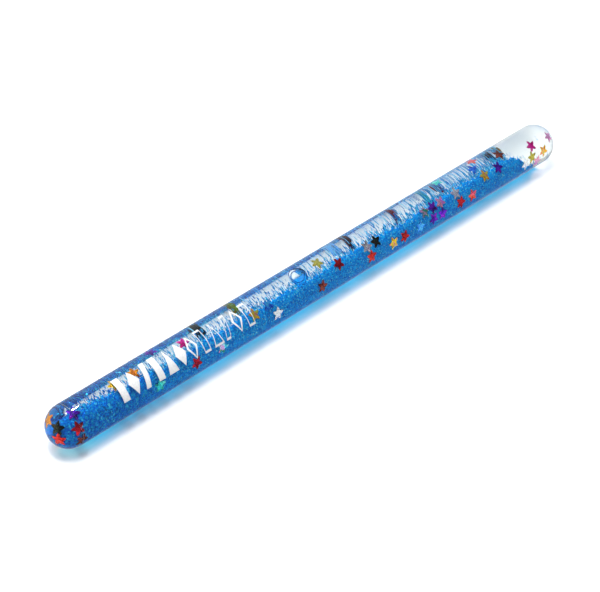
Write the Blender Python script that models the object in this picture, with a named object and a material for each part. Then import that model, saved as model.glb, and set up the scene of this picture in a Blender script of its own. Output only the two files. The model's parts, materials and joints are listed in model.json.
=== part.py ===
"""Liquid glitter wand for a kaleidoscope.

A clear round-ended tube is filled with liquid, fine glitter, loose foil stars and one air bubble.
The wand lies along X on the floor: its capped end points to -X and its closed end to +X.
The tube's outside has many narrow sides, so that it rests on one of them at z = 0.
Angles round the tube are in degrees: 0 is the front (-Y), 90 the top, 180 the back (+Y).
"""

import math

import bmesh
import bpy
from mathutils import Matrix, Vector

# the tube and its glued cap
TUBE_LENGTH = 0.300
TUBE_RADIUS = 0.0095
BORE_RADIUS = 0.0080
SIDES = 28
DOME_STEPS = 8
DOME_CENTRE = TUBE_LENGTH / 2 - TUBE_RADIUS
AXIS_HEIGHT = TUBE_RADIUS * math.cos(math.pi / SIDES)
LAP_LENGTH = 0.004
LAP_RADIUS = 0.0086
GAP = 0.0003

# the fill, which leaves a film along the wall for the stars
CORE_RADIUS = 0.0067
CORE_SIDES = 40
CORE_NEAR = -0.1340
CORE_FAR = 0.1340
BED_FRONT_ANGLE = 55.0
BED_BACK_ANGLE = -128.0
BED_SAG = 0.0014
BED_FAR_TOP = 0.1260
LIQUID_TOP = -0.0005

# the air bubble
BUBBLE_X = -0.0140
BUBBLE_BACK = 0.0008
BUBBLE_HEIGHT = 0.0029
BUBBLE_HALF_SIZE = (0.0042, 0.0032, 0.0032)

# the foil stars
STAR_RADIUS = 0.0023
DOME_STAR_RADIUS = 0.0021
STAR_NOTCH = 0.46
STAR_THICKNESS = 0.0003
STAR_SHELL = 0.0072

FOIL = {
    "amber": (0.72, 0.33, 0.03),
    "black": (0.015, 0.020, 0.018),
    "blue": (0.03, 0.12, 0.62),
    "brown": (0.16, 0.05, 0.03),
    "coral": (0.80, 0.14, 0.09),
    "crimson": (0.46, 0.01, 0.05),
    "cyan": (0.12, 0.70, 0.80),
    "gold": (0.90, 0.55, 0.04),
    "green": (0.04, 0.36, 0.24),
    "magenta": (0.66, 0.03, 0.28),
    "olive": (0.33, 0.30, 0.12),
    "pink": (0.85, 0.38, 0.50),
    "purple": (0.13, 0.03, 0.38),
    "red": (0.60, 0.04, 0.03),
    "silver": (0.75, 0.77, 0.78),
    "teal": (0.05, 0.47, 0.44),
    "white": (0.92, 0.93, 0.94),
}

# stars that stand in a row along the tube: angle, then place along X in mm, colour, turn in degrees
ROWS = {
    "front": (7.0, [
        (-99.7, "teal", 10), (-79.8, "crimson", 50), (-65.6, "cyan", 64),
        (-34.1, "white", 5), (-7.7, "brown", 70), (22.5, "red", 12),
        (36.4, "gold", 30), (43.4, "red", 58), (53.7, "blue", 0),
        (62.3, "purple", 44), (68.2, "purple", 8), (80.3, "crimson", 66), (88.2, "coral", 25),
    ]),
    "upper_front": (43.0, [
        (-45.5, "gold", 15), (-37.4, "blue", 52), (4.3, "crimson", 36), (21.6, "silver", 62),
        (27.2, "black", 20), (58.4, "cyan", 5), (63.6, "purple", 33), (68.8, "pink", 50),
        (78.9, "silver", 12),
    ]),
    "top": (79.0, [
        (-117.9, "gold", 28), (-107.7, "amber", 4), (-81.1, "magenta", 60), (-4.5, "olive", 40),
        (95.7, "blue", 18), (113.0, "brown", 55),
    ]),
    "top_rear": (115.0, [(-94.2, "purple", 34), (76.2, "teal", 9), (100.1, "coral", 47)]),
    "rear": (214.0, [
        (-65.8, "black", 14), (-45.4, "amber", 63), (13.7, "white", 21),
        (22.2, "brown", 70), (51.2, "crimson", 3), (70.4, "green", 49), (79.4, "crimson", 26),
    ]),
}

# stars piled against the two end domes: the way each one faces from the dome's centre, colour, turn
NEAR_PILE = [
    ((-0.744, 0.484, 0.456), "amber", 12),
    ((-0.838, -0.254, 0.479), "black", 40),
    ((0.095, -0.375, 0.923), "purple", 55),
    ((-0.075, -0.904, 0.423), "crimson", 24),
    ((0.023, -0.948, -0.306), "brown", 66),
    ((-0.907, -0.410, -0.095), "red", 5),
]
FAR_DOME_PILE = [((0.444, -0.647, 0.616), "pink", 30)]
FAR_WALL_PILE = [
    (98.7, 43.0, "gold", 18), (107.9, 43.0, "purple", 61), (114.8, 217.0, "black", 35),
    (120.6, 215.0, "amber", 7), (125.2, 2.0, "white", 44), (129.8, 13.0, "olive", 20),
    (133.4, -13.0, "pink", 66), (131.6, 47.0, "magenta", 28), (137.9, 11.0, "gold", 50),
]


def clear_scene():
    for item in list(bpy.data.objects):
        bpy.data.objects.remove(item, do_unlink=True)


def finish_material(name, colour, roughness, metallic=0.0, alpha=1.0):
    mat = bpy.data.materials.new(name)
    mat.use_nodes = True
    shader = mat.node_tree.nodes["Principled BSDF"]
    shader.inputs["Base Color"].default_value = (*colour, 1.0)
    shader.inputs["Roughness"].default_value = roughness
    shader.inputs["Metallic"].default_value = metallic
    shader.inputs["Alpha"].default_value = alpha
    return mat


def add_object(name, mesh_data, mat):
    item = bpy.data.objects.new(name, mesh_data)
    bpy.context.scene.collection.objects.link(item)
    item.data.materials.append(mat)
    return item


def mesh_from(name, bm):
    bmesh.ops.recalc_face_normals(bm, faces=bm.faces)
    if bm.calc_volume(signed=True) < 0.0:
        bmesh.ops.reverse_faces(bm, faces=bm.faces)
    data = bpy.data.meshes.new(name)
    bm.to_mesh(data)
    bm.free()
    return data


def smooth(item, angle=35.0):
    bpy.context.view_layer.objects.active = item
    item.select_set(True)
    bpy.ops.object.shade_smooth()
    item.data.set_sharp_from_angle(angle=math.radians(angle))
    item.select_set(False)


def wall_point(x, angle, radius):
    """A point at this radius from the tube's axis."""
    a = math.radians(angle)
    return Vector((x, -radius * math.cos(a), AXIS_HEIGHT + radius * math.sin(a)))


def dome_arc(centre, radius, outwards):
    """Profile points from the cylinder's end round to the axis, as (x, radius)."""
    arc = []
    for step in range(DOME_STEPS + 1):
        a = math.pi / 2 * step / DOME_STEPS
        arc.append((centre + outwards * radius * math.sin(a), radius * math.cos(a)))
    arc[-1] = (centre + outwards * radius, 0.0)
    return arc


def turned(name, profile, mat, sides):
    """A solid of revolution about the tube's axis, with a flat side facing down."""
    bm = bmesh.new()
    start = -90.0 + 180.0 / sides
    verts = [bm.verts.new(wall_point(x, start, r)) for x, r in profile]
    edges = []
    for here, there in zip(range(-1, len(verts) - 1), range(len(verts))):
        if profile[here][1] > 0.0 or profile[there][1] > 0.0:
            edges.append(bm.edges.new((verts[here], verts[there])))
    bmesh.ops.spin(
        bm,
        geom=verts + edges,
        cent=(0.0, 0.0, AXIS_HEIGHT),
        axis=(1.0, 0.0, 0.0),
        angle=2 * math.pi,
        steps=sides,
        use_merge=True,
    )
    bmesh.ops.remove_doubles(bm, verts=bm.verts, dist=1e-6)
    item = add_object(name, mesh_from(name, bm), mat)
    smooth(item)
    return item


def build_tube():
    """The long wall with its closed dome. Its open end is counterbored for the cap."""
    mouth = -DOME_CENTRE
    outer = [(mouth, TUBE_RADIUS)] + dome_arc(DOME_CENTRE, TUBE_RADIUS, 1)
    inner = dome_arc(DOME_CENTRE, BORE_RADIUS, 1)[::-1]
    lap = [
        (mouth + LAP_LENGTH, BORE_RADIUS),
        (mouth + LAP_LENGTH, LAP_RADIUS + GAP),
        (mouth, LAP_RADIUS + GAP),
    ]
    mat = finish_material("tube_clear_plastic", (0.80, 0.89, 0.94), 0.06, alpha=0.30)
    turned("wand_tube", outer + inner + lap, mat, SIDES)


def build_cap():
    """A hollow dome whose thin lip is glued inside the tube's mouth."""
    mouth = -DOME_CENTRE - GAP
    lip = mouth + LAP_LENGTH
    outer = dome_arc(-DOME_CENTRE, TUBE_RADIUS, -1)[::-1]
    outer = [p for p in outer if p[0] < mouth] + [(mouth, TUBE_RADIUS)]
    inner = dome_arc(-DOME_CENTRE, BORE_RADIUS, -1)
    ring = [(mouth, LAP_RADIUS), (lip, LAP_RADIUS), (lip, BORE_RADIUS)]
    mat = finish_material("cap_clear_plastic", (0.80, 0.89, 0.94), 0.06, alpha=0.30)
    turned("end_cap", outer + ring + inner, mat, SIDES)


def core_blank(name, mat):
    """The round-ended body of liquid that the bed and the clear liquid are both cut from."""
    profile = dome_arc(CORE_NEAR + CORE_RADIUS, CORE_RADIUS, -1)[::-1]
    profile += dome_arc(CORE_FAR - CORE_RADIUS, CORE_RADIUS, 1)
    return turned(name, profile, mat, CORE_SIDES)


def bed_surface(lift):
    """The bed's sagging surface across the bore, from front to back, raised by lift."""
    front = Vector((-math.cos(math.radians(BED_FRONT_ANGLE)), math.sin(math.radians(BED_FRONT_ANGLE))))
    back = Vector((-math.cos(math.radians(BED_BACK_ANGLE)), math.sin(math.radians(BED_BACK_ANGLE))))
    front, back = front * CORE_RADIUS, back * CORE_RADIUS
    along = (back - front).normalized()
    down = Vector((along.y, -along.x))
    if down.y > 0.0:
        down = -down
    curve = []
    for step in range(-2, 13):
        t = step / 10
        sag = BED_SAG * 4 * t * (1 - t)
        curve.append(front.lerp(back, t) + down * (sag - lift))
    return curve


def prism(name, outline, x_near, x_far):
    """A straight cutter along X with this (y, z) outline about the tube's axis."""
    bm = bmesh.new()
    verts = [bm.verts.new((x_near, y, AXIS_HEIGHT + z)) for y, z in outline]
    face = bm.faces.new(verts)
    grown = bmesh.ops.extrude_face_region(bm, geom=[face])
    moved = [g for g in grown["geom"] if isinstance(g, bmesh.types.BMVert)]
    bmesh.ops.translate(bm, verts=moved, vec=(x_far - x_near, 0.0, 0.0))
    cutter = bpy.data.objects.new(name, mesh_from(name, bm))
    bpy.context.scene.collection.objects.link(cutter)
    cutter.hide_render = True
    cutter.display_type = "WIRE"
    return cutter


def cut(item, cutter, operation):
    step = item.modifiers.new(cutter.name, "BOOLEAN")
    step.operation = operation
    step.solver = "EXACT"
    step.object = cutter


def build_bed():
    """Glitter settled in the lower front of the bore, cut back on a slope at the far end."""
    mat = finish_material("settled_blue_glitter", (0.01, 0.19, 0.52), 0.55, 0.35)
    bed = core_blank("glitter_bed", mat)
    reach = 2.0 * CORE_RADIUS
    below = [(v.x, v.y) for v in bed_surface(0.0)]
    below += [(reach, -reach), (-reach, -reach), (-reach, below[0][1])]
    cut(bed, prism("bed_outline", below, CORE_NEAR - 0.01, CORE_FAR + 0.01), "INTERSECT")
    wedge = [(-reach, -reach), (reach, -reach), (reach, reach), (-reach, reach)]
    slope = prism("bed_far_slope", wedge, BED_FAR_TOP, CORE_FAR + 0.02)
    for v in slope.data.vertices:
        if v.co.z < AXIS_HEIGHT and v.co.x < CORE_FAR:
            v.co.x += CORE_RADIUS
    cut(bed, slope, "DIFFERENCE")


def build_liquid():
    """Clear liquid over the bed. Its flat top leaves room for the bubble to pass."""
    mat = finish_material("clear_liquid_fill", (0.70, 0.84, 0.92), 0.03, alpha=0.25)
    liquid = core_blank("clear_liquid", mat)
    reach = 2.0 * CORE_RADIUS
    surface = [(v.x, v.y) for v in bed_surface(GAP) if v.y < LIQUID_TOP]
    above = surface + [(reach, surface[-1][1]), (reach, LIQUID_TOP), (surface[0][0] - 0.0001, LIQUID_TOP)]
    cut(liquid, prism("liquid_outline", above, CORE_NEAR - 0.01, CORE_FAR + 0.01), "INTERSECT")


def build_bubble():
    bm = bmesh.new()
    bmesh.ops.create_uvsphere(bm, u_segments=32, v_segments=16, radius=1.0)
    bmesh.ops.scale(bm, vec=BUBBLE_HALF_SIZE, verts=bm.verts)
    bmesh.ops.translate(bm, vec=(BUBBLE_X, BUBBLE_BACK, AXIS_HEIGHT + BUBBLE_HEIGHT), verts=bm.verts)
    mat = finish_material("bubble_air", (0.88, 0.94, 0.98), 0.02, alpha=0.20)
    smooth(add_object("air_bubble", mesh_from("air_bubble", bm), mat), 60.0)


def add_star(name, centre, facing, turn, colour, radius=STAR_RADIUS):
    """A flat five-pointed foil star whose face looks along facing, away from the bore's middle."""
    bm = bmesh.new()
    verts = []
    for corner in range(10):
        a = math.radians(turn + 36.0 * corner)
        r = radius * (STAR_NOTCH if corner % 2 else 1.0)
        verts.append(bm.verts.new((r * math.cos(a), r * math.sin(a), 0.0)))
    face = bm.faces.new(verts)
    grown = bmesh.ops.extrude_face_region(bm, geom=[face])
    moved = [g for g in grown["geom"] if isinstance(g, bmesh.types.BMVert)]
    bmesh.ops.translate(bm, verts=moved, vec=(0.0, 0.0, STAR_THICKNESS))
    facing = Vector(facing).normalized()
    side = Vector((1.0, 0.0, 0.0)) if abs(facing.x) < 0.9 else Vector((0.0, 0.0, 1.0))
    side = (side - facing * side.dot(facing)).normalized()
    frame = Matrix((side, facing.cross(side), facing)).transposed().to_4x4()
    bm.transform(Matrix.Translation(centre) @ frame)
    mat = finish_material(name + "_foil", FOIL[colour], 0.28, 0.75)
    return add_object(name, mesh_from(name, bm), mat)


def star_name(place, colour, used):
    """A name from the star's row and colour, numbered along the row."""
    stem = f"{place}_star_{colour}"
    used[stem] = used.get(stem, 0) + 1
    return f"{stem}_{used[stem]}"


def add_wall_star(name, x_mm, angle, colour, turn):
    facing = wall_point(0.0, angle, 1.0) - wall_point(0.0, angle, 0.0)
    add_star(name, wall_point(x_mm / 1000, angle, STAR_SHELL), facing, turn, colour)


def add_dome_star(name, dome_x, facing, colour, turn):
    facing = Vector(facing).normalized()
    middle = Vector((dome_x, 0.0, AXIS_HEIGHT))
    add_star(name, middle + facing * STAR_SHELL, facing, turn, colour, DOME_STAR_RADIUS)


def build_stars():
    used = {}
    for row, (angle, stars) in ROWS.items():
        for x_mm, colour, turn in stars:
            add_wall_star(star_name(row, colour, used), x_mm, angle, colour, turn)
    for facing, colour, turn in NEAR_PILE:
        add_dome_star(star_name("near_end", colour, used), -DOME_CENTRE, facing, colour, turn)
    for facing, colour, turn in FAR_DOME_PILE:
        add_dome_star(star_name("far_end", colour, used), DOME_CENTRE, facing, colour, turn)
    for x_mm, angle, colour, turn in FAR_WALL_PILE:
        add_wall_star(star_name("far_end", colour, used), x_mm, angle, colour, turn)


clear_scene()
build_tube()
build_cap()
build_bed()
build_liquid()
build_bubble()
build_stars()
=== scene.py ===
import json
import math

import bmesh
import bpy
import numpy as np
from mathutils import Matrix, Vector


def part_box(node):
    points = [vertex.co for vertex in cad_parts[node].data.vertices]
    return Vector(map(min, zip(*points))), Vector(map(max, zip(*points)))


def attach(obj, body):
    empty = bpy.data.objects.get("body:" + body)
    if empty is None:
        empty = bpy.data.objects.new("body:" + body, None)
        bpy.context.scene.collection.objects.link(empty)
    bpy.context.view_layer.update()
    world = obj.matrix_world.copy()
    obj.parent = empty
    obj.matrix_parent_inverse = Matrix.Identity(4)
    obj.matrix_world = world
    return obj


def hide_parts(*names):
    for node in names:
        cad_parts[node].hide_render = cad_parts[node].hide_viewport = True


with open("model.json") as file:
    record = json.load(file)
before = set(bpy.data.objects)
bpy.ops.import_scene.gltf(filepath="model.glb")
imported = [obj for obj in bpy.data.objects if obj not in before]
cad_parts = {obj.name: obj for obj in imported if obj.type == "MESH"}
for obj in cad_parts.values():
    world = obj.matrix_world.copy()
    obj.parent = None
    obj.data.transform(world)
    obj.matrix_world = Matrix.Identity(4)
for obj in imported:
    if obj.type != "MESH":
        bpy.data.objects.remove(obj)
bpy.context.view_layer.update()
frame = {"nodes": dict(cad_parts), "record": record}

# the tube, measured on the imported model
TUBE_LOW, TUBE_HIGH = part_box("wand_tube")
CAP_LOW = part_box("end_cap")[0]
AXIS_Z = (TUBE_LOW.z + TUBE_HIGH.z) / 2
RADIUS = (TUBE_HIGH.z - TUBE_LOW.z) / 2
WALL = 0.0015
BORE = RADIUS - WALL
FAR_END = TUBE_HIGH.x
NEAR_END = CAP_LOW.x
FAR_DOME = FAR_END - RADIUS
NEAR_DOME = NEAR_END + RADIUS
SEAM_X = TUBE_LOW.x
SEAM_HALF_WIDTH = 0.00012
SEAM_DEPTH = 0.00006

ON_AXIS = 1e-7

PLASTIC_IOR = 1.49
LIQUID_IOR = 1.45

# radii of the layers inside the bore, from the wall inwards
STAR_LIMIT = BORE - 0.00006
STAR_LAYER = BORE - 0.00014
FLAKE_LIMIT = BORE - 0.00034
FLAKE_LAYER = BORE - 0.00048
BED_LAYER = BORE - 0.00065
LIQUID_LAYER = BORE - 0.00110


# ---------------------------------------------------------------- helpers

def link(item):
    """Puts an object into the scene."""
    bpy.context.scene.collection.objects.link(item)
    return item


def mesh_object(name, bm, mats, smooth=True):
    """An object from a bmesh, which is freed."""
    data = bpy.data.meshes.new(name)
    bm.to_mesh(data)
    bm.free()
    for mat in mats:
        data.materials.append(mat)
    if smooth:
        data.shade_smooth()
    return link(bpy.data.objects.new(name, data))


def grid_object(name, points, faces, mats):
    """A smooth object from lists of points and faces."""
    data = bpy.data.meshes.new(name)
    data.from_pydata(points, [], faces)
    for mat in mats:
        data.materials.append(mat)
    data.update()
    data.shade_smooth()
    return link(bpy.data.objects.new(name, data))


def on_wall(x, angle, radius):
    """A point round the tube: 0 degrees is the front, 90 the top, 180 the back."""
    a = math.radians(angle)
    return Vector((x, -radius * math.cos(a), AXIS_Z + radius * math.sin(a)))


def face_outwards(bm):
    """Turns every face of a closed solid to the outside."""
    bmesh.ops.recalc_face_normals(bm, faces=bm.faces)
    if bm.calc_volume(signed=True) < 0:
        bmesh.ops.reverse_faces(bm, faces=bm.faces)


def turn_outwards(item):
    """Does the same to a finished object."""
    bm = bmesh.new()
    bm.from_mesh(item.data)
    face_outwards(bm)
    bm.to_mesh(item.data)
    bm.free()


def revolve(name, profile, mats, sides=128, face_slot=None):
    """A closed solid of revolution about the tube's axis from (x, radius) points."""
    points, rings, faces, slots = [], [], [], []
    for x, r in profile:
        if r < ON_AXIS:
            rings.append([len(points)] * sides)
            points.append(on_wall(x, 0, 0))
        else:
            rings.append(list(range(len(points), len(points) + sides)))
            points += [on_wall(x, 360 * k / sides, r) for k in range(sides)]
    count = len(rings)
    for i in range(count):
        a, b = rings[i], rings[(i + 1) % count]
        if a[0] == a[1] and b[0] == b[1]:
            continue
        for k in range(sides):
            j = (k + 1) % sides
            loop = [a[k], a[j], b[j], b[k]]
            loop = [v for n, v in enumerate(loop) if v not in loop[:n]]
            faces.append(loop)
            slots.append(face_slot(i) if face_slot else 0)
    item = grid_object(name, points, faces, mats)
    item.data.polygons.foreach_set("material_index", slots)
    turn_outwards(item)
    item.data.shade_smooth()
    return item


def quarter(centre, radius, outwards, steps=20):
    """A dome's profile from its rim to its pole; outwards is 1 for the far end, -1 for the near."""
    arc = []
    for n in range(steps + 1):
        a = math.pi / 2 * n / steps
        arc.append((centre + outwards * radius * math.sin(a), radius * math.cos(a)))
    arc[-1] = (centre + outwards * radius, 0.0)
    return arc


# ---------------------------------------------------------------- materials

def new_material(name):
    """A material with an empty node tree and its output node."""
    mat = bpy.data.materials.new(name)
    mat.use_nodes = True
    tree = mat.node_tree
    tree.nodes.clear()
    out = tree.nodes.new("ShaderNodeOutputMaterial")
    return mat, tree, out


def add(tree, kind, **settings):
    """A new node with its settings."""
    node = tree.nodes.new(kind)
    for key, value in settings.items():
        setattr(node, key, value)
    return node


def principled(tree, **values):
    """A Principled shader; an underscore in a value's name stands for a space."""
    node = tree.nodes.new("ShaderNodeBsdfPrincipled")
    for key, value in values.items():
        name = key.replace("_", " ")
        node.inputs[name].default_value = (*value, 1.0) if name == "Base Color" else value
    return node


def lamps_through(tree, out, shader, tint, rim_tint=None):
    """Lets lamps and bounced light through a clear piece, while the eye sees it bend the view."""
    path = add(tree, "ShaderNodeLightPath")
    clear = add(tree, "ShaderNodeBsdfTransparent")
    clear.inputs["Color"].default_value = (*tint, 1.0)
    if rim_tint:
        facing = add(tree, "ShaderNodeLayerWeight")
        rim = ramp(tree, [(0.16, tint), (0.62, rim_tint)])
        tree.links.new(facing.outputs["Facing"], rim.inputs["Fac"])
        tree.links.new(rim.outputs["Color"], clear.inputs["Color"])
    shown = shader.outputs["BSDF"]
    for ray in ("Is Shadow Ray", "Is Diffuse Ray"):
        mix = add(tree, "ShaderNodeMixShader")
        tree.links.new(path.outputs[ray], mix.inputs["Fac"])
        tree.links.new(shown, mix.inputs[1])
        tree.links.new(clear.outputs["BSDF"], mix.inputs[2])
        shown = mix.outputs["Shader"]
    tree.links.new(shown, out.inputs["Surface"])


def stretch(tree, socket, low, high, low_value, high_value):
    """Maps a value onto a new range, held at both ends."""
    node = add(tree, "ShaderNodeMapRange")
    node.inputs["From Min"].default_value, node.inputs["From Max"].default_value = low, high
    node.inputs["To Min"].default_value, node.inputs["To Max"].default_value = low_value, high_value
    tree.links.new(socket, node.inputs["Value"])
    return node.outputs["Result"]


def painted_shade_at_near_end(tree, colour):
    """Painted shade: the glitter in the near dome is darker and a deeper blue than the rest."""
    coords = add(tree, "ShaderNodeTexCoord")
    place = add(tree, "ShaderNodeSeparateXYZ")
    tree.links.new(coords.outputs["Object"], place.inputs["Vector"])
    amount = stretch(tree, place.outputs["X"], NEAR_SHADE_START, NEAR_SHADE_END, 0.0, 1.0)
    tint = ramp(tree, NEAR_SHADE_TINTS)
    tree.links.new(amount, tint.inputs["Fac"])
    product = add(tree, "ShaderNodeVectorMath", operation="MULTIPLY")
    tree.links.new(colour, product.inputs[0])
    tree.links.new(tint.outputs["Color"], product.inputs[1])
    return product.outputs[0]


def fine_bump(tree, shader, scale, strength, distance):
    """The slight unevenness of moulded plastic."""
    coords = add(tree, "ShaderNodeTexCoord")
    noise = add(tree, "ShaderNodeTexNoise")
    noise.inputs["Scale"].default_value = scale
    noise.inputs["Detail"].default_value = 3.0
    bump = add(tree, "ShaderNodeBump")
    bump.inputs["Strength"].default_value = strength
    bump.inputs["Distance"].default_value = distance
    tree.links.new(coords.outputs["Object"], noise.inputs["Vector"])
    tree.links.new(noise.outputs["Fac"], bump.inputs["Height"])
    tree.links.new(bump.outputs["Normal"], shader.inputs["Normal"])


def clear_plastic(name, ior, tint, shadow, rim_shadow=None):
    """A clear solid whose shadow can have a colour of its own at the rim."""
    mat, tree, out = new_material(name)
    shader = principled(tree, Base_Color=tint, Roughness=0.0, IOR=ior, Transmission_Weight=1.0)
    fine_bump(tree, shader, 60.0, 0.04, 0.0004)
    lamps_through(tree, out, shader, shadow, rim_shadow)
    return mat


def bubble_skin():
    """The liquid's inner surface round the air: light goes from liquid to air."""
    mat, tree, out = new_material("bubble_air")
    shader = add(tree, "ShaderNodeBsdfGlass")
    shader.inputs["Roughness"].default_value = 0.0
    shader.inputs["IOR"].default_value = 1.0 / LIQUID_IOR
    # painted shade: a dark ring tinted into the glass by facing
    edge = add(tree, "ShaderNodeLayerWeight")
    edge.inputs["Blend"].default_value = 0.5
    rim = ramp(tree, BUBBLE_PAINTED_RING)
    tree.links.new(edge.outputs["Facing"], rim.inputs["Fac"])
    tree.links.new(rim.outputs["Color"], shader.inputs["Color"])
    lamps_through(tree, out, shader, (0.93, 0.95, 0.97))
    return mat


def ramp(tree, stops):
    """A colour ramp from (place, colour) stops."""
    node = add(tree, "ShaderNodeValToRGB")
    band = node.color_ramp
    while len(band.elements) > 2:
        band.elements.remove(band.elements[-1])
    band.elements[0].position, band.elements[1].position = stops[0][0], stops[-1][0]
    band.elements[0].color, band.elements[1].color = (*stops[0][1], 1), (*stops[-1][1], 1)
    for place, colour in stops[1:-1]:
        band.elements.new(place).color = (*colour, 1)
    return node


def grain_material():
    """The settled bed between its loose flakes: cells of blue foil at many tilts.

    Lamps shine through it and leave a blue glow on the floor in front, a pale one behind.
    """
    mat, tree, out = new_material("blue_glitter_bed")
    coords = add(tree, "ShaderNodeTexCoord")
    cells = add(tree, "ShaderNodeTexVoronoi")
    cells.inputs["Scale"].default_value = GRAINS_PER_METRE
    cells.inputs["Randomness"].default_value = 1.0
    tree.links.new(coords.outputs["Object"], cells.inputs["Vector"])
    patches = add(tree, "ShaderNodeTexNoise")
    patches.inputs["Scale"].default_value = 160.0
    patches.inputs["Detail"].default_value = 4.0
    tree.links.new(coords.outputs["Object"], patches.inputs["Vector"])
    split = add(tree, "ShaderNodeSeparateColor")
    tree.links.new(cells.outputs["Color"], split.inputs["Color"])
    blend = add(tree, "ShaderNodeMath", operation="MULTIPLY_ADD")
    blend.inputs[1].default_value = 0.6
    tree.links.new(split.outputs["Red"], blend.inputs[0])
    scaled = add(tree, "ShaderNodeMath", operation="MULTIPLY")
    scaled.inputs[1].default_value = 0.45
    tree.links.new(patches.outputs["Fac"], scaled.inputs[0])
    tree.links.new(scaled.outputs[0], blend.inputs[2])
    shade = ramp(tree, GLITTER_SHADES)
    tree.links.new(blend.outputs[0], shade.inputs["Fac"])
    shader = principled(tree, Roughness=0.5, Metallic=0.2, Specular_IOR_Level=0.15)
    tree.links.new(painted_shade_at_near_end(tree, shade.outputs["Color"]), shader.inputs["Base Color"])
    bump = add(tree, "ShaderNodeBump")
    bump.inputs["Strength"].default_value = 0.8
    bump.inputs["Distance"].default_value = 0.0003
    tree.links.new(split.outputs["Green"], bump.inputs["Height"])
    tree.links.new(bump.outputs["Normal"], shader.inputs["Normal"])
    path = add(tree, "ShaderNodeLightPath")
    clear = add(tree, "ShaderNodeBsdfTransparent")
    place = add(tree, "ShaderNodeSeparateXYZ")
    tree.links.new(coords.outputs["Object"], place.inputs["Vector"])
    behind = stretch(tree, place.outputs["Y"], -0.001, 0.0025, 0.0, 1.0)
    at_end = stretch(tree, place.outputs["X"], NEAR_DOME + 0.012, NEAR_DOME, 0.0, 0.45)
    pale = add(tree, "ShaderNodeMath", operation="MAXIMUM")
    tree.links.new(behind, pale.inputs[0])
    tree.links.new(at_end, pale.inputs[1])
    glow = ramp(tree, [(0.0, BED_GLOW), (1.0, PALE_GLOW)])
    tree.links.new(pale.outputs[0], glow.inputs["Fac"])
    tree.links.new(glow.outputs["Color"], clear.inputs["Color"])
    mix = add(tree, "ShaderNodeMixShader")
    tree.links.new(path.outputs["Is Shadow Ray"], mix.inputs["Fac"])
    tree.links.new(shader.outputs["BSDF"], mix.inputs[1])
    tree.links.new(clear.outputs["BSDF"], mix.inputs[2])
    tree.links.new(mix.outputs["Shader"], out.inputs["Surface"])
    return mat


def flake_material(name, shades):
    """Loose flakes of blue foil, each with a shade of its own."""
    mat, tree, out = new_material(name)
    tint = add(tree, "ShaderNodeAttribute")
    tint.attribute_name = "flake_shade"
    shade = ramp(tree, shades)
    tree.links.new(tint.outputs["Fac"], shade.inputs["Fac"])
    shader = principled(tree, Roughness=0.35, Metallic=0.35, Specular_IOR_Level=0.15)
    tree.links.new(painted_shade_at_near_end(tree, shade.outputs["Color"]), shader.inputs["Base Color"])
    tree.links.new(shader.outputs["BSDF"], out.inputs["Surface"])
    return mat


def foil_material(name, colours):
    """Metallised foil: colour drifts over each star, with fine embossed lines."""
    mat, tree, out = new_material("foil_" + name)
    coords = add(tree, "ShaderNodeTexCoord")
    drift = add(tree, "ShaderNodeTexNoise")
    drift.inputs["Scale"].default_value = 330.0
    drift.inputs["Detail"].default_value = 1.5
    drift.inputs["Distortion"].default_value = 0.6
    tree.links.new(coords.outputs["Object"], drift.inputs["Vector"])
    places = np.linspace(*FOIL_DRIFT, len(colours))
    shade = ramp(tree, list(zip(places, colours)))
    tree.links.new(drift.outputs["Fac"], shade.inputs["Fac"])
    shader = principled(tree, Roughness=0.25, Metallic=0.8)
    tree.links.new(shade.outputs["Color"], shader.inputs["Base Color"])
    lines = add(tree, "ShaderNodeTexWave")
    lines.inputs["Scale"].default_value = 900.0
    lines.inputs["Distortion"].default_value = 1.0
    tree.links.new(coords.outputs["Object"], lines.inputs["Vector"])
    bump = add(tree, "ShaderNodeBump")
    bump.inputs["Strength"].default_value = 0.25
    bump.inputs["Distance"].default_value = 0.0001
    tree.links.new(lines.outputs["Fac"], bump.inputs["Height"])
    tree.links.new(bump.outputs["Normal"], shader.inputs["Normal"])
    tree.links.new(shader.outputs["BSDF"], out.inputs["Surface"])
    return mat


def print_material():
    """Matt white ink, a little patchy."""
    mat, tree, out = new_material("white_print")
    coords = add(tree, "ShaderNodeTexCoord")
    noise = add(tree, "ShaderNodeTexNoise")
    noise.inputs["Scale"].default_value = 1400.0
    tree.links.new(coords.outputs["Object"], noise.inputs["Vector"])
    shade = ramp(tree, [(0.3, (0.70, 0.72, 0.74)), (0.6, (0.82, 0.83, 0.84))])
    tree.links.new(noise.outputs["Fac"], shade.inputs["Fac"])
    shader = principled(tree, Roughness=0.45)
    tree.links.new(shade.outputs["Color"], shader.inputs["Base Color"])
    tree.links.new(shader.outputs["BSDF"], out.inputs["Surface"])
    return mat


# shades of the glitter, as (place in the random range, colour)
GLITTER_SHADES = [
    (0.08, (0.000, 0.12, 0.52)),
    (0.40, (0.000, 0.24, 0.80)),
    (0.62, (0.001, 0.36, 0.92)),
    (0.82, (0.010, 0.54, 0.92)),
    (0.97, (0.22, 0.82, 0.86)),
]
# painted light: a lighter copy of the glitter's shades, for the flakes on the back wall and at the near
# end
PAINTED_LIGHT_SHADES = [
    (0.05, (0.00, 0.22, 0.50)),
    (0.35, (0.01, 0.36, 0.68)),
    (0.60, (0.04, 0.52, 0.78)),
    (0.85, (0.20, 0.78, 0.90)),
    (1.00, (0.70, 0.95, 0.98)),
]
GRAINS_PER_METRE = 1900.0

# what the bed does to the light that passes through it
BED_GLOW = (0.02, 0.60, 0.74)
PALE_GLOW = (0.85, 0.80, 0.68)

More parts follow.
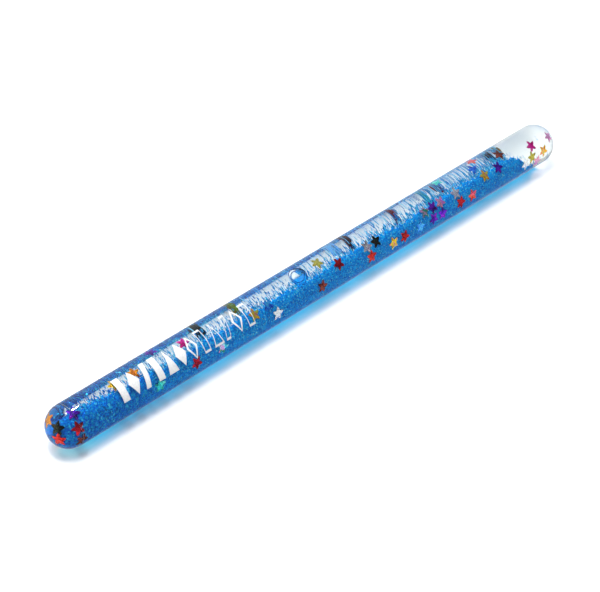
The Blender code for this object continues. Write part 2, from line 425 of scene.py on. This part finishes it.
# painted shade: the darker tint on the glitter from the near dome to where it fades out
NEAR_SHADE_START = NEAR_DOME - 0.006
NEAR_SHADE_END = NEAR_DOME + 0.050
NEAR_SHADE_TINTS = [
    (0.0, (0.05, 0.50, 0.78)),
    (0.7, (0.30, 0.78, 0.95)),
    (1.0, (1.0, 1.0, 1.0)),
]

# painted shade on the bubble's skin from its middle to its edge: clear, a dark ring, a bright edge
BUBBLE_PAINTED_RING = [
    (0.20, (0.97, 0.99, 1.0)),
    (0.38, (0.80, 0.90, 1.0)),
    (0.52, (0.02, 0.05, 0.20)),
    (0.66, (0.10, 0.20, 0.45)),
    (0.80, (0.97, 0.99, 1.0)),
]

# the range of the noise over which a foil goes through its colours
FOIL_DRIFT = (0.34, 0.66)
FOILS = {
    "amber": [(0.40, 0.09, 0.00), (0.85, 0.33, 0.01), (0.75, 0.18, 0.01)],
    "black": [(0.003, 0.006, 0.004), (0.006, 0.022, 0.014), (0.04, 0.03, 0.01)],
    "blue": [(0.00, 0.06, 0.50), (0.02, 0.25, 1.0), (0.10, 0.60, 1.0)],
    "brown": [(0.07, 0.006, 0.008), (0.24, 0.03, 0.02), (0.34, 0.08, 0.05)],
    "coral": [(0.80, 0.04, 0.02), (0.95, 0.16, 0.10), (0.90, 0.10, 0.20)],
    "crimson": [(0.20, 0.000, 0.008), (0.52, 0.002, 0.025), (0.62, 0.01, 0.015)],
    "cyan": [(0.01, 0.55, 0.68), (0.45, 1.0, 1.0), (0.95, 0.40, 0.80), (0.02, 0.45, 0.30)],
    "gold": [(0.95, 0.28, 0.01), (1.0, 0.78, 0.03), (0.98, 0.28, 0.22), (0.75, 0.95, 0.10)],
    "green": [(0.00, 0.10, 0.05), (0.01, 0.55, 0.30), (0.30, 0.95, 0.65)],
    "magenta": [(0.50, 0.00, 0.16), (0.88, 0.01, 0.38), (0.95, 0.15, 0.55)],
    "olive": [(0.22, 0.18, 0.02), (0.50, 0.44, 0.08), (0.62, 0.56, 0.08)],
    "pink": [(1.0, 0.20, 0.30), (1.0, 0.55, 0.75), (0.95, 0.25, 0.75)],
    "purple": [(0.03, 0.00, 0.18), (0.13, 0.01, 0.60), (0.32, 0.02, 0.66)],
    "red": [(0.46, 0.004, 0.004), (0.78, 0.03, 0.015), (0.88, 0.06, 0.04)],
    "silver": [(0.50, 0.46, 0.50), (0.90, 0.88, 0.92), (0.70, 0.55, 0.78)],
    "teal": [(0.01, 0.34, 0.32), (0.03, 0.70, 0.60), (0.15, 0.90, 0.72)],
    "white": [(0.88, 0.93, 1.0), (1.0, 1.0, 1.0), (0.95, 0.97, 0.88)],
}


# ---------------------------------------------------------------- tube, liquid and bubble

BUBBLE_TAPER = 0.07


def build_tube():
    """The clear wall, inside and out, with the glued seam as a fine groove near the cap."""
    outer_mat = clear_plastic(
        "clear_tube_outside", PLASTIC_IOR, (0.985, 0.995, 1.0),
        shadow=(0.97, 0.98, 0.99), rim_shadow=(0.42, 0.50, 0.58),
    )
    inner_mat = clear_plastic(
        "clear_tube_inside", PLASTIC_IOR / LIQUID_IOR, (0.99, 1.0, 1.0), shadow=(0.99, 0.99, 1.0)
    )
    outside = quarter(NEAR_DOME, RADIUS, -1)[::-1]
    outside += [
        (SEAM_X - SEAM_HALF_WIDTH, RADIUS),
        (SEAM_X, RADIUS - SEAM_DEPTH),
        (SEAM_X + SEAM_HALF_WIDTH, RADIUS),
    ]
    outside += quarter(FAR_DOME, RADIUS, 1)
    inside = quarter(FAR_DOME, BORE, 1)[::-1] + quarter(NEAR_DOME, BORE, -1)
    parts = len(outside)
    item = revolve(
        "clear_tube", outside + inside, [outer_mat, inner_mat],
        face_slot=lambda i: 0 if i < parts else 1,
    )
    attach(item, "tube")
    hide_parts("wand_tube", "end_cap")


def build_liquid():
    """The liquid as a faint grey tint, which is painted shade on what is seen through it; the tube's
    inner skin does the bending of light.
    """
    # painted shade: the grey tint darkens everything seen through the liquid
    mat = clear_plastic("thick_clear_liquid", 1.0, (0.77, 0.81, 0.80), shadow=(0.985, 0.99, 0.995))
    profile = quarter(NEAR_DOME, LIQUID_LAYER, -1)[::-1] + quarter(FAR_DOME, LIQUID_LAYER, 1)
    item = revolve("liquid_fill", profile, [mat], sides=96)
    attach(item, "tube")
    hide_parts("clear_liquid")


def build_bubble():
    """The bubble, an egg that tapers toward its top and bottom."""
    low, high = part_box("air_bubble")
    centre, half = (low + high) / 2, (high - low) / 2
    bm = bmesh.new()
    bmesh.ops.create_uvsphere(bm, u_segments=64, v_segments=32, radius=1.0)
    for v in bm.verts:
        v.co.x *= 1.0 - BUBBLE_TAPER * v.co.z * v.co.z
        v.co = Vector((v.co.x * half.x, v.co.y * half.y, v.co.z * half.z)) + centre
    item = mesh_object("bubble_of_air", bm, [bubble_skin()])
    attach(item, "bubble")
    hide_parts("air_bubble")


# ---------------------------------------------------------------- glitter

BED_NEAR = NEAR_DOME - BORE * 0.93
BED_FAR = FAR_DOME - 0.003
STATIONS = 400
ACROSS = 40
# where the bed's surface meets the wall along the straight tube, in degrees
FRONT_ANGLE, BACK_ANGLE = 49.0, -128.0
# the bed rises at the near end and falls away at the far end
HEAP_LENGTH = 0.030
HEAP_RISE = 16.0
FALL_START, FALL_END = FAR_DOME - 0.024, FAR_DOME - 0.004
FRONT_FALL, BACK_FALL = 95.0, 45.0
SAG, HEAP_SAG = 0.0016, 0.0014
# the front edge's jagged line: degrees up or down at steps along the tube
RAGGED_START = -0.165
RAGGED_STEP = 0.0008
RAGGED = np.random.default_rng(5).uniform(-5.0, 9.0, 420)


def smoothstep(low, high, value):
    """0 below low, 1 above high, and a smooth rise between."""
    t = min(1.0, max(0.0, (value - low) / (high - low)))
    return t * t * (3 - 2 * t)


def bore_radius(x, bore):
    """The radius at x of a round-ended bore."""
    over = max(0.0, x - FAR_DOME, NEAR_DOME - x)
    return math.sqrt(max(bore * bore - over * over, 1e-10))


def heaped(x):
    """How far the bed has risen toward the near dome, from 0 to 1."""
    return 1.0 - smoothstep(NEAR_DOME, NEAR_DOME + HEAP_LENGTH, x)


def bed_edges(x):
    """The angles where the bed's surface meets the wall in front and behind."""
    heap = heaped(x)
    fall = smoothstep(FALL_START, FALL_END, x)
    wave = 3.0 * math.sin(x * 91.0) + 2.0 * math.sin(x * 233.0 + 1.0)
    ragged = float(np.interp((x - RAGGED_START) / RAGGED_STEP, np.arange(len(RAGGED)), RAGGED))
    front = FRONT_ANGLE + HEAP_RISE * heap - FRONT_FALL * fall + wave + ragged
    back = BACK_ANGLE - HEAP_RISE * heap + BACK_FALL * fall + 0.3 * wave
    return front, back


def build_bed():
    """The settled bed: sections round the wall and back over a sagging surface, joined along x."""
    points, faces = [], []
    ring = 2 * ACROSS
    for s in range(STATIONS + 1):
        x = BED_NEAR + (BED_FAR - BED_NEAR) * s / STATIONS
        front, back = bed_edges(x)
        r = bore_radius(x, BED_LAYER)
        for k in range(ACROSS):
            points.append(on_wall(x, front + (back - front) * k / ACROSS, r))
        a, b = on_wall(x, back, r), on_wall(x, front, r)
        low = Vector((0.0, -(a - b).z, (a - b).y)).normalized()
        if low.z > 0:
            low = -low
        for k in range(ACROSS):
            t = k / ACROSS
            sag = (SAG + HEAP_SAG * heaped(x)) * 4 * t * (1 - t) * (r / BORE)
            points.append(a.lerp(b, t) + low * sag)
    for s in range(STATIONS):
        for k in range(ring):
            j = (k + 1) % ring
            faces.append([s * ring + k, s * ring + j, (s + 1) * ring + j, (s + 1) * ring + k])
    faces.append(list(range(ring))[::-1])
    faces.append([STATIONS * ring + k for k in range(ring)])
    item = grid_object("glitter_bed_body", points, faces, [grain_material()])
    turn_outwards(item)
    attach(item, "tube")
    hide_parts("glitter_bed")
    return item


# how thickly flakes cling to the back wall, from the bed's edge up to the wall's own
# upper limit, which lies a little lower toward the far end
BACK_LIMIT, BACK_LIMIT_PER_METRE = 145.9, -29.3
DRIFT_PLACES = (0.0, 0.25, 0.42, 0.60, 0.76, 0.90, 1.0, 1.15, 1.8)
DRIFT_AMOUNTS = (1.6, 1.5, 1.05, 0.46, 0.22, 0.11, 0.07, 0.02, 0.002)
# the stretch over which the back wall gets crowded, and where it is clear again
CROWD_START, CROWD_END = 0.045, 0.085
CLEAR_START, CLEAR_END = FAR_DOME - 0.022, FAR_DOME - 0.015
# the front wall: full below the edge, then thinning out upwards
FRONT_FULL = 0.5
FRONT_EDGE, FRONT_FADE = 0.42, 5.0
# the large flakes: all of them in the near dome, none beyond this stretch
PACKED_START, PACKED_END = NEAR_DOME + 0.006, NEAR_DOME + 0.042
PACKED_ABOVE_BED = 0.12
SKIN_STEPS, SKIN_SIDES = 420, 180
SPREAD_SEED, SIZE_SEED, TURN_SEED, SHADE_SEED = 11, 5, 23, 37


def front_amount(x, angle, front, back):
    """Glitter resting against the wall in front of the bed."""
    edge = front + 2.0
    if back <= angle <= edge:
        return FRONT_FULL
    if angle > front:
        return FRONT_EDGE * math.exp(-(angle - edge) / FRONT_FADE) + 0.002
    return 0.0


def back_amount(x, angle, front, back):
    """Glitter that clings to the back wall above the bed, thicker toward the far end."""
    if angle >= back or angle > 0.0:
        return 0.0
    climb = (back - angle) / (BACK_LIMIT + BACK_LIMIT_PER_METRE * x + back)
    amount = float(np.interp(climb, DRIFT_PLACES, DRIFT_AMOUNTS))
    crowd = smoothstep(CROWD_START, CROWD_END, x)
    amount = amount * (1.0 - crowd) + crowd * min(1.6, 0.25 + 2.2 * amount) * (climb < 1.25)
    clear = smoothstep(CLEAR_START, CLEAR_END, x)
    return amount * (1.0 - 0.98 * clear)


def near_amount(x, angle, front, back):
    """Large flakes packed toward the near dome."""
    near = 1.0 - smoothstep(PACKED_START, PACKED_END, x)
    return near if back <= angle <= front + 6.0 else PACKED_ABOVE_BED * near


def wall_skin(amount):
    """A guide surface on the bore wall that says how thickly flakes lie on it."""
    points, faces, density = [], [], []
    steps, around = SKIN_STEPS, SKIN_SIDES
    near, far = NEAR_DOME - BORE * 0.95, FAR_DOME + BORE * 0.9
    for s in range(steps + 1):
        x = near + (far - near) * s / steps
        r = bore_radius(x, FLAKE_LAYER)
        front, back = bed_edges(x)
        for k in range(around):
            angle = 180.0 - 360.0 * k / around
            points.append(on_wall(x, angle, r))
            density.append(amount(x, angle, front, back))
    for s in range(steps):
        for k in range(around):
            j = (k + 1) % around
            faces.append([s * around + k, s * around + j, (s + 1) * around + j, (s + 1) * around + k])
    item = grid_object("wall_guide", points, faces, [])
    attribute = item.data.attributes.new("flake_density", "FLOAT", "POINT")
    attribute.data.foreach_set("value", density)
    return item


def flake_tree(mat):
    """Scatters small six-sided flakes on a surface and turns each one at random."""
    tree = bpy.data.node_groups.new("scatter_flakes", "GeometryNodeTree")
    face = tree.interface
    face.new_socket("Geometry", in_out="INPUT", socket_type="NodeSocketGeometry")
    face.new_socket("Flakes per Square Metre", in_out="INPUT", socket_type="NodeSocketFloat")
    face.new_socket("Flake Radius", in_out="INPUT", socket_type="NodeSocketFloat")
    face.new_socket("Tilt", in_out="INPUT", socket_type="NodeSocketFloat")
    face.new_socket("Use Density", in_out="INPUT", socket_type="NodeSocketBool")
    face.new_socket("Geometry", in_out="OUTPUT", socket_type="NodeSocketGeometry")
    nodes, links = tree.nodes, tree.links
    inputs = nodes.new("NodeGroupInput")
    output = nodes.new("NodeGroupOutput")
    named = nodes.new("GeometryNodeInputNamedAttribute")
    named.data_type = "FLOAT"
    named.inputs["Name"].default_value = "flake_density"
    choose = nodes.new("GeometryNodeSwitch")
    choose.input_type = "FLOAT"
    links.new(inputs.outputs["Use Density"], choose.inputs["Switch"])
    choose.inputs["False"].default_value = 1.0
    links.new(named.outputs["Attribute"], choose.inputs["True"])
    times = nodes.new("ShaderNodeMath")
    times.operation = "MULTIPLY"
    links.new(inputs.outputs["Flakes per Square Metre"], times.inputs[0])
    links.new(choose.outputs["Output"], times.inputs[1])
    spread = nodes.new("GeometryNodeDistributePointsOnFaces")
    spread.distribute_method = "RANDOM"
    spread.inputs["Seed"].default_value = SPREAD_SEED
    links.new(inputs.outputs["Geometry"], spread.inputs["Mesh"])
    links.new(times.outputs[0], spread.inputs["Density"])
    disc = nodes.new("GeometryNodeMeshCircle")
    disc.fill_type = "NGON"
    disc.inputs["Vertices"].default_value = 6
    links.new(inputs.outputs["Flake Radius"], disc.inputs["Radius"])
    place = nodes.new("GeometryNodeInstanceOnPoints")
    links.new(spread.outputs["Points"], place.inputs["Points"])
    links.new(disc.outputs["Mesh"], place.inputs["Instance"])
    links.new(spread.outputs["Rotation"], place.inputs["Rotation"])
    size = nodes.new("FunctionNodeRandomValue")
    size.data_type = "FLOAT"
    size.inputs[2].default_value = 0.7
    size.inputs[3].default_value = 1.35
    size.inputs["Seed"].default_value = SIZE_SEED
    links.new(size.outputs[1], place.inputs["Scale"])
    low = nodes.new("ShaderNodeVectorMath")
    low.operation = "SCALE"
    low.inputs[0].default_value = (-1.0, -1.0, -3.14)
    links.new(inputs.outputs["Tilt"], low.inputs["Scale"])
    high = nodes.new("ShaderNodeVectorMath")
    high.operation = "SCALE"
    high.inputs[0].default_value = (1.0, 1.0, 3.14)
    links.new(inputs.outputs["Tilt"], high.inputs["Scale"])
    turn = nodes.new("FunctionNodeRandomValue")
    turn.data_type = "FLOAT_VECTOR"
    turn.inputs["Seed"].default_value = TURN_SEED
    links.new(low.outputs[0], turn.inputs[0])
    links.new(high.outputs[0], turn.inputs[1])
    rotate = nodes.new("GeometryNodeRotateInstances")
    links.new(place.outputs["Instances"], rotate.inputs["Instances"])
    links.new(turn.outputs[0], rotate.inputs["Rotation"])
    shade = nodes.new("FunctionNodeRandomValue")
    shade.data_type = "FLOAT"
    shade.inputs["Seed"].default_value = SHADE_SEED
    store = nodes.new("GeometryNodeStoreNamedAttribute")
    store.data_type = "FLOAT"
    store.domain = "INSTANCE"
    store.inputs["Name"].default_value = "flake_shade"
    links.new(rotate.outputs["Instances"], store.inputs["Geometry"])
    links.new(shade.outputs[1], store.inputs["Value"])
    real = nodes.new("GeometryNodeRealizeInstances")
    links.new(store.outputs["Geometry"], real.inputs["Geometry"])
    paint = nodes.new("GeometryNodeSetMaterial")
    paint.inputs["Material"].default_value = mat
    links.new(real.outputs["Geometry"], paint.inputs["Geometry"])
    links.new(paint.outputs["Geometry"], output.inputs["Geometry"])
    return tree


def scatter(name, guide, tree, mat, per_mm2, radius, tilt, use_density):
    """Runs the flake tree on a guide surface and keeps the result as a plain mesh."""
    step = guide.modifiers.new("flakes", "NODES")
    step.node_group = tree
    values = {
        "Flakes per Square Metre": per_mm2 * 1e6,
        "Flake Radius": radius,
        "Tilt": tilt,
        "Use Density": use_density,
    }
    for socket in tree.interface.items_tree:
        if socket.item_type == "SOCKET" and socket.in_out == "INPUT" and socket.name in values:
            step[socket.identifier] = values[socket.name]
    graph = bpy.context.evaluated_depsgraph_get()
    graph.update()
    data = bpy.data.meshes.new_from_object(
        guide.evaluated_get(graph), preserve_all_data_layers=True, depsgraph=graph
    )
    data.name = name
    guide.modifiers.remove(step)
    if not data.materials:
        data.materials.append(mat)
    item = link(bpy.data.objects.new(name, data))
    item.visible_shadow = False
    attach(item, "tube")
    return item


def build_glitter():
    """The bed and all the loose flakes on it and on the walls."""
    bed = build_bed()
    mat = flake_material("blue_glitter_flake", GLITTER_SHADES)
    # painted light: the lighter flakes on the back wall and at the near end
    bright = flake_material("bright_glitter_flake", PAINTED_LIGHT_SHADES)
    share = 1.0
    made = []
    for name, amount, paint, per_mm2, radius in (
        ("glitter_on_front_wall", front_amount, mat, 8.0, 0.00021),
        ("glitter_on_back_wall", back_amount, bright, 8.0, 0.00023),
        ("large_flakes_at_near_end", near_amount, bright, 0.9, 0.00046),
    ):
        skin = wall_skin(amount)
        made.append(scatter(name, skin, flake_tree(paint), paint, per_mm2 * share, radius, 0.45, True))
        bpy.data.objects.remove(skin)
    guide = link(bpy.data.objects.new("bed_guide", bed.data.copy()))
    made.append(scatter("glitter_on_bed", guide, flake_tree(mat), mat, 1.4 * share, 0.00023, 0.7, False))
    bpy.data.objects.remove(guide)
    for item in made:
        keep_inside(item)


def keep_inside(item):
    """Pulls back any flake corner that would reach into the plastic wall."""
    count = len(item.data.vertices)
    co = np.empty(count * 3)
    item.data.vertices.foreach_get("co", co)
    co = co.reshape(-1, 3)
    axis = np.stack([np.clip(co[:, 0], NEAR_DOME, FAR_DOME), np.zeros(count), np.full(count, AXIS_Z)], 1)
    away = co - axis
    dist = np.linalg.norm(away, axis=1, keepdims=True)
    scale = np.minimum(1.0, FLAKE_LIMIT / np.maximum(dist, 1e-9))
    item.data.vertices.foreach_set("co", (axis + away * scale).ravel())
    item.data.update()


# ---------------------------------------------------------------- stars

def star_frame(node):
    """Centre, facing, direction of one tip and radius of a CAD star."""
    co = np.array([v.co for v in node.data.vertices], float).reshape(-1, 3)
    co = np.unique(co.round(7), axis=0)
    centre = co.mean(0)
    _, _, axes = np.linalg.svd(co - centre)
    facing = Vector(axes[2])
    middle = Vector((min(max(centre[0], NEAR_DOME), FAR_DOME), 0.0, AXIS_Z))
    centre = Vector(centre)
    if facing.dot(centre - middle) < 0:
        facing = -facing
    reach = max((Vector(p) - centre for p in co), key=lambda d: d.length)
    tip = reach - facing * reach.dot(facing)
    return centre, facing.normalized(), tip.normalized(), tip.length


# the foil stars are larger than the CAD's, and each second row lies under its neighbours
STAR_GROWTH = 1.28
NEAR_STAR_GROWTH = 1.45
STAR_THICKNESS = 0.00006
STAR_TIPS = 5
STAR_FLANK, STAR_NOTCH = 0.70, 0.46
STAR_LEAN = 0.00003
LOWER_ROWS = ("upper_front", "top_rear", "far_end")
LOWER_ROW_DROP = 0.00016
# painted light: the rear stars' foils are made brighter by this factor
REAR_PAINTED_LIGHT = 1.7


def star_outline(size):
    """Corners of a five-pointed star with slightly blunt tips, as (radius, degrees)."""
    corners = []
    for tip in range(STAR_TIPS):
        a = 360.0 / STAR_TIPS * tip
        corners += [(size * 0.95, a - 3.2), (size * 0.985, a), (size * 0.95, a + 3.2)]
        corners.append((size * STAR_FLANK, a + 17.5))
        corners.append((size * STAR_NOTCH, a + 36.0))
        corners.append((size * STAR_FLANK, a + 54.5))
    return corners


def build_star(node, body, mat, rng):
    """One foil star, bent to the wall where the CAD has its flat star."""
    centre, facing, tip, size = star_frame(node)
    across = facing.cross(tip)
    size *= NEAR_STAR_GROWTH if node.name.startswith("near_end") else STAR_GROWTH
    drop = LOWER_ROW_DROP if node.name.startswith(LOWER_ROWS) else 0.0
    lean = rng.uniform(-1, 1, 2) * STAR_LEAN
    bm = bmesh.new()

    def placed(r, a, side):
        """A point of the star at radius r and a degrees; side 1 is the face toward the axis."""
        u, v = r * math.cos(math.radians(a)), r * math.sin(math.radians(a))
        flat = centre + tip * u + across * v
        middle = Vector((min(max(flat.x, NEAR_DOME), FAR_DOME), 0.0, AXIS_Z))
        away = (flat - middle).normalized()
        height = STAR_LAYER - drop + (lean[0] * u + lean[1] * v) / size - side * STAR_THICKNESS
        return middle + away * min(height, STAR_LIMIT)

    outline = star_outline(size)
    sides = []
    for side in (0, 1):
        hub = bm.verts.new(placed(0.0, 0.0, side))
        mid = [bm.verts.new(placed(r * 0.5, a, side)) for r, a in outline]
        rim = [bm.verts.new(placed(r, a, side)) for r, a in outline]
        sides.append((hub, mid, rim))
    count = len(outline)
    for side, (hub, mid, rim) in enumerate(sides):
        for k in range(count):
            j = (k + 1) % count
            for loop in ([hub, mid[k], mid[j]], [mid[k], rim[k], rim[j], mid[j]]):
                bm.faces.new(loop if side == 0 else loop[::-1])
    for k in range(count):
        j = (k + 1) % count
        bm.faces.new([sides[0][2][j], sides[0][2][k], sides[1][2][k], sides[1][2][j]])
    face_outwards(bm)
    item = mesh_object("foil_" + node.name, bm, [mat], smooth=False)
    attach(item, body)
    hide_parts(node.name)


def painted_brighter(shades):
    """Painted light: the same foil made brighter, for the rear stars seen through the tinted liquid."""
    return [tuple(min(1.0, REAR_PAINTED_LIGHT * c) for c in shade) for shade in shades]


def build_stars():
    """Every star of the record, in its own body and foil."""
    mats = {colour: foil_material(colour, shades) for colour, shades in FOILS.items()}
    # painted light: the rear stars get brighter copies of the foils
    rear = {colour: foil_material(colour + "_rear", painted_brighter(shades)) for colour, shades in FOILS.items()}
    rng = np.random.default_rng(8)
    for body, members in frame["record"]["behaviour"]["bodies"].items():
        for name in members:
            if "_star_" in name:
                colour = name.split("_star_")[1].rsplit("_", 1)[0]
                mat = rear[colour] if name.startswith("rear") else mats[colour]
                build_star(frame["nodes"][name], body, mat, rng)


# ---------------------------------------------------------------- print

PRINT_START = NEAR_DOME + 0.0212
PRINT_PITCH = 0.0062
PRINT_LOW_ANGLE, PRINT_HIGH_ANGLE = 22.0, 88.0
PRINT_WIDTH = 0.0046
PRINT_LINE = 0.00099
PRINT_CUTS = 16
SOLID_BANDS = 6
PRINT_GAP = 0.00002
PRINT_THICKNESS = 0.00005


def print_shapes():
    """A plain row of bars, lozenges, slants and wedges, solid first and then in outline."""
    bar = [(0.12, 0), (0.82, 0), (0.82, 1), (0.12, 1)]
    lozenge = [(0.5, 0), (1.08, 0.5), (0.5, 1), (-0.08, 0.5)]
    wedge = [(-0.05, 0), (1.05, 0), (0.5, 1)]
    slant = [(0, 0), (0.5, 0), (1.05, 1), (0.55, 1)]
    solid = [bar, lozenge, slant, bar, wedge, lozenge]
    hollow = [lozenge, bar, wedge, slant, lozenge, bar]
    return [(s, False) for s in solid] + [(s, True) for s in hollow]


def build_print():
    """The row of white shapes on the outside of the tube."""
    bm = bmesh.new()
    span = math.radians(PRINT_HIGH_ANGLE - PRINT_LOW_ANGLE) * RADIUS

    def at(u, v, layer):
        """A point u along the row and v up it; layer 0 is next to the tube, 1 outside."""
        x = PRINT_START + u
        angle = PRINT_LOW_ANGLE + math.degrees(v / RADIUS)
        return on_wall(x, angle, RADIUS + PRINT_GAP + layer * PRINT_THICKNESS)

    def strip(loop_a, loop_b):
        """A band between two closed outlines of the same corners, bent round the tube."""
        for k in range(len(loop_a)):
            j = (k + 1) % len(loop_a)
            grid = []
            for n in range(PRINT_CUTS + 1):
                t = n / PRINT_CUTS
                grid.append([
                    [bm.verts.new(at(*(p[k] * (1 - t) + p[j] * t), layer)) for p in (loop_a, loop_b)]
                    for layer in (0, 1)
                ])
            for n in range(PRINT_CUTS):
                here, there = grid[n], grid[n + 1]
                bm.faces.new([here[1][0], there[1][0], there[1][1], here[1][1]])
                bm.faces.new([here[0][1], there[0][1], there[0][0], here[0][0]])
                bm.faces.new([here[0][0], there[0][0], there[1][0], here[1][0]])
                bm.faces.new([here[1][1], there[1][1], there[0][1], here[0][1]])

    for place, (shape, hollow) in enumerate(print_shapes()):
        outline = [np.array([place * PRINT_PITCH + u * PRINT_WIDTH, v * span]) for u, v in shape]
        middle = sum(outline) / len(outline)
        steps = 1 if hollow else SOLID_BANDS
        loops = [outline]
        for n in range(steps):
            if hollow:
                inner = [p + (middle - p) / np.linalg.norm(middle - p) * PRINT_LINE for p in outline]
            else:
                t = (n + 1) / steps
                inner = [p + (middle - p) * min(t, 0.999) for p in outline]
            loops.append(inner)
        for a, b in zip(loops, loops[1:]):
            strip(a, b)
    bmesh.ops.remove_doubles(bm, verts=bm.verts, dist=1e-6)
    bmesh.ops.recalc_face_normals(bm, faces=bm.faces)
    item = mesh_object("white_print_pattern", bm, [print_material()], smooth=False)
    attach(item, "tube")


# ---------------------------------------------------------------- studio

FLOOR_GAP = 0.00003
ORIGIN = (0, 0, 0)
WORLD_IN_FRONT, WORLD_BEHIND = 0.17, 0.85

# the camera looks down and along the tube from the front
CAMERA_LENS = 119.2
CAMERA_TURN = math.radians(44.45)
CAMERA_TILT = math.radians(38.27)
CAMERA_DISTANCE = 0.8444
CAMERA_AIM = Vector((-0.01834, -0.00531, AXIS_Z))

# the small highlight on the tube's upper front, near the capped end
GLINT_ANGLE = 73.0
GLINT_DISTANCE = 0.8
GLINT_SHIFT = Vector((-0.346, 0, 0))


def build_floor():
    """A pale matt floor just under the tube."""
    mat, tree, out = new_material("pale_floor")
    coords = add(tree, "ShaderNodeTexCoord")
    noise = add(tree, "ShaderNodeTexNoise")
    noise.inputs["Scale"].default_value = 90.0
    tree.links.new(coords.outputs["Object"], noise.inputs["Vector"])
    shade = ramp(tree, [(0.0, (0.88, 0.885, 0.89)), (1.0, (0.91, 0.91, 0.91))])
    tree.links.new(noise.outputs["Fac"], shade.inputs["Fac"])
    shader = principled(tree, Roughness=0.75)
    tree.links.new(shade.outputs["Color"], shader.inputs["Base Color"])
    tree.links.new(shader.outputs["BSDF"], out.inputs["Surface"])
    bm = bmesh.new()
    bmesh.ops.create_grid(bm, x_segments=4, y_segments=4, size=4.0)
    item = mesh_object("floor", bm, [mat])
    item.data.transform(Matrix.Translation((0, 0, TUBE_LOW.z - FLOOR_GAP)))
    item.visible_glossy = False


def area_lamp(name, place, target, size, power):
    """A white rectangular lamp that faces its target."""
    data = bpy.data.lights.new(name, "AREA")
    data.shape = "RECTANGLE"
    data.size, data.size_y = size
    data.energy = power
    item = link(bpy.data.objects.new(name, data))
    item.location = place
    item.rotation_mode = "QUATERNION"
    item.rotation_quaternion = (Vector(target) - Vector(place)).to_track_quat("-Z", "Y")
    return item


def build_world():
    """A soft white surround, dimmer in front of the tube than behind it."""
    world = bpy.data.worlds.new("studio")
    bpy.context.scene.world = world
    world.use_nodes = True
    tree = world.node_tree
    coords = add(tree, "ShaderNodeTexCoord")
    split = add(tree, "ShaderNodeSeparateXYZ")
    tree.links.new(coords.outputs["Generated"], split.inputs["Vector"])
    side = add(tree, "ShaderNodeMapRange")
    side.inputs["From Min"].default_value = -0.25
    side.inputs["From Max"].default_value = 0.75
    side.inputs["To Min"].default_value = WORLD_IN_FRONT
    side.inputs["To Max"].default_value = WORLD_BEHIND
    tree.links.new(split.outputs["Y"], side.inputs["Value"])
    tree.links.new(side.outputs["Result"], tree.nodes["Background"].inputs["Color"])


def build_lamps():
    """A large soft key overhead, a weak fill in front, and a small lamp for the highlight."""
    key = area_lamp("key", (0.20, 0.45, 2.0), ORIGIN, (1.1, 1.3), 48.0)
    fill = area_lamp("fill", (-0.5, -1.0, 1.9), ORIGIN, (0.7, 0.7), 5.0)
    for lamp in (key, fill):
        lamp.visible_glossy = False
        lamp.visible_transmission = False
    start = on_wall(NEAR_DOME + 0.010, GLINT_ANGLE, RADIUS)
    normal = (start - Vector((start.x, 0.0, AXIS_Z))).normalized()
    back = (bpy.context.scene.camera.location - start).normalized()
    mirrored = normal * 2.0 * normal.dot(back) - back
    place = start + mirrored * GLINT_DISTANCE + GLINT_SHIFT
    glint = area_lamp("glint", place, start, (0.03, 0.11), 1.2)
    glint.visible_transmission = False


def build_camera():
    """The main view's camera."""
    data = bpy.data.cameras.new("camera")
    data.sensor_width = 36.0
    data.lens = CAMERA_LENS
    data.clip_start, data.clip_end = 0.01, 50.0
    item = link(bpy.data.objects.new("camera", data))
    level = math.cos(CAMERA_TILT)
    ahead = Vector((math.sin(CAMERA_TURN) * level, math.cos(CAMERA_TURN) * level, -math.sin(CAMERA_TILT)))
    item.location = CAMERA_AIM - ahead * CAMERA_DISTANCE
    item.rotation_mode = "QUATERNION"
    item.rotation_quaternion = ahead.to_track_quat("-Z", "Y")
    bpy.context.scene.camera = item


build_tube()
build_liquid()
build_bubble()
build_glitter()
build_stars()
build_print()
build_camera()
build_floor()
build_world()
build_lamps()

scene = bpy.context.scene
scene.view_settings.view_transform = "Standard"
scene.cycles.caustics_refractive = False
scene.cycles.caustics_reflective = False
scene.cycles.transparent_max_bounces = 24
scene.cycles.transmission_bounces = 16
scene.cycles.max_bounces = 20
